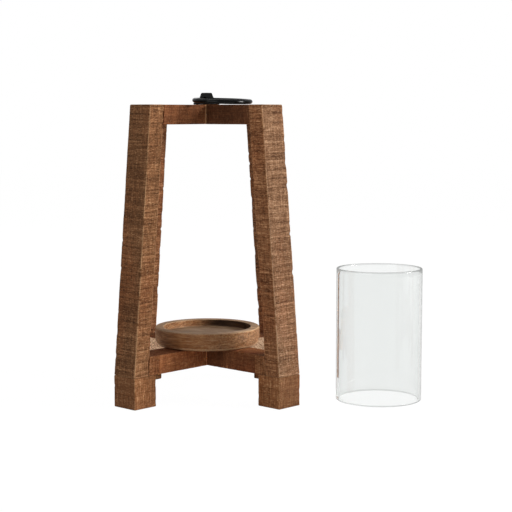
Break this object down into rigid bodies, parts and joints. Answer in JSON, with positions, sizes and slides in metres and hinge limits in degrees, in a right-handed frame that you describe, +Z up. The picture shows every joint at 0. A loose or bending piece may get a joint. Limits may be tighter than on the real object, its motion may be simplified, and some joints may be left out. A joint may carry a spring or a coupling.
{
  "type": "candle lantern",
  "caption": "Rustic wooden candle lantern on splayed legs with a turned tray, a swinging iron ring on top and an open glass sleeve standing beside it.",
  "frame": {"origin": "middle of the tray's recess floor, on the lantern's vertical axis", "axes": "+Z up, +X towards the glass sleeve's side (the right in the picture), +Y to the back; the legs stand on the diagonals"},
  "size_m": [0.357, 0.212, 0.3581],
  "materials": {
    "leg_wood": "rough-sawn, brown stain, worn at the edges",
    "foot_wood": "sanded, brown stain, worn at the edges",
    "rail_wood": "rough-sawn, dark brown stain",
    "tray_wood": "turned, grey-brown stain, satin",
    "black_iron": "black, satin",
    "steel": "plain zinc",
    "clear_glass": "clear, polished"
  },
  "bodies": {
    "lantern": {"leg_post_near_left": "leg_wood", "leg_post_near_right": "leg_wood", "leg_post_far_right": "leg_wood", "leg_post_far_left": "leg_wood", "foot_near_left": "foot_wood", "foot_near_right": "foot_wood", "foot_far_right": "foot_wood", "foot_far_left": "foot_wood", "corner_block_near_left": "foot_wood", "corner_block_near_right": "foot_wood", "corner_block_far_right": "foot_wood", "corner_block_far_left": "foot_wood", "bottom_rail_lower": "rail_wood", "bottom_rail_upper": "rail_wood", "top_rail_lower": "rail_wood", "top_rail_upper": "rail_wood", "tray": "tray_wood", "tray_screw": "steel", "ring_lug": "black_iron", "plate_screw_1": "black_iron", "plate_screw_2": "black_iron"},
    "ring": {"ring_handle": "black_iron"},
    "glass": {"glass_sleeve": "clear_glass"}
  },
  "joints": [
    {"name": "ring_swing", "type": "hinge", "parent": "lantern", "child": "ring", "pos_m": [0, 0, 0.2778], "axis": [-0.8192, -0.5736, 0], "range_deg": [0, 172]},
    {"name": "glass_lift", "type": "slide", "parent": "lantern", "child": "glass", "axis": [0, 0, 1], "range_m": [0, 0.16]}
  ]
}
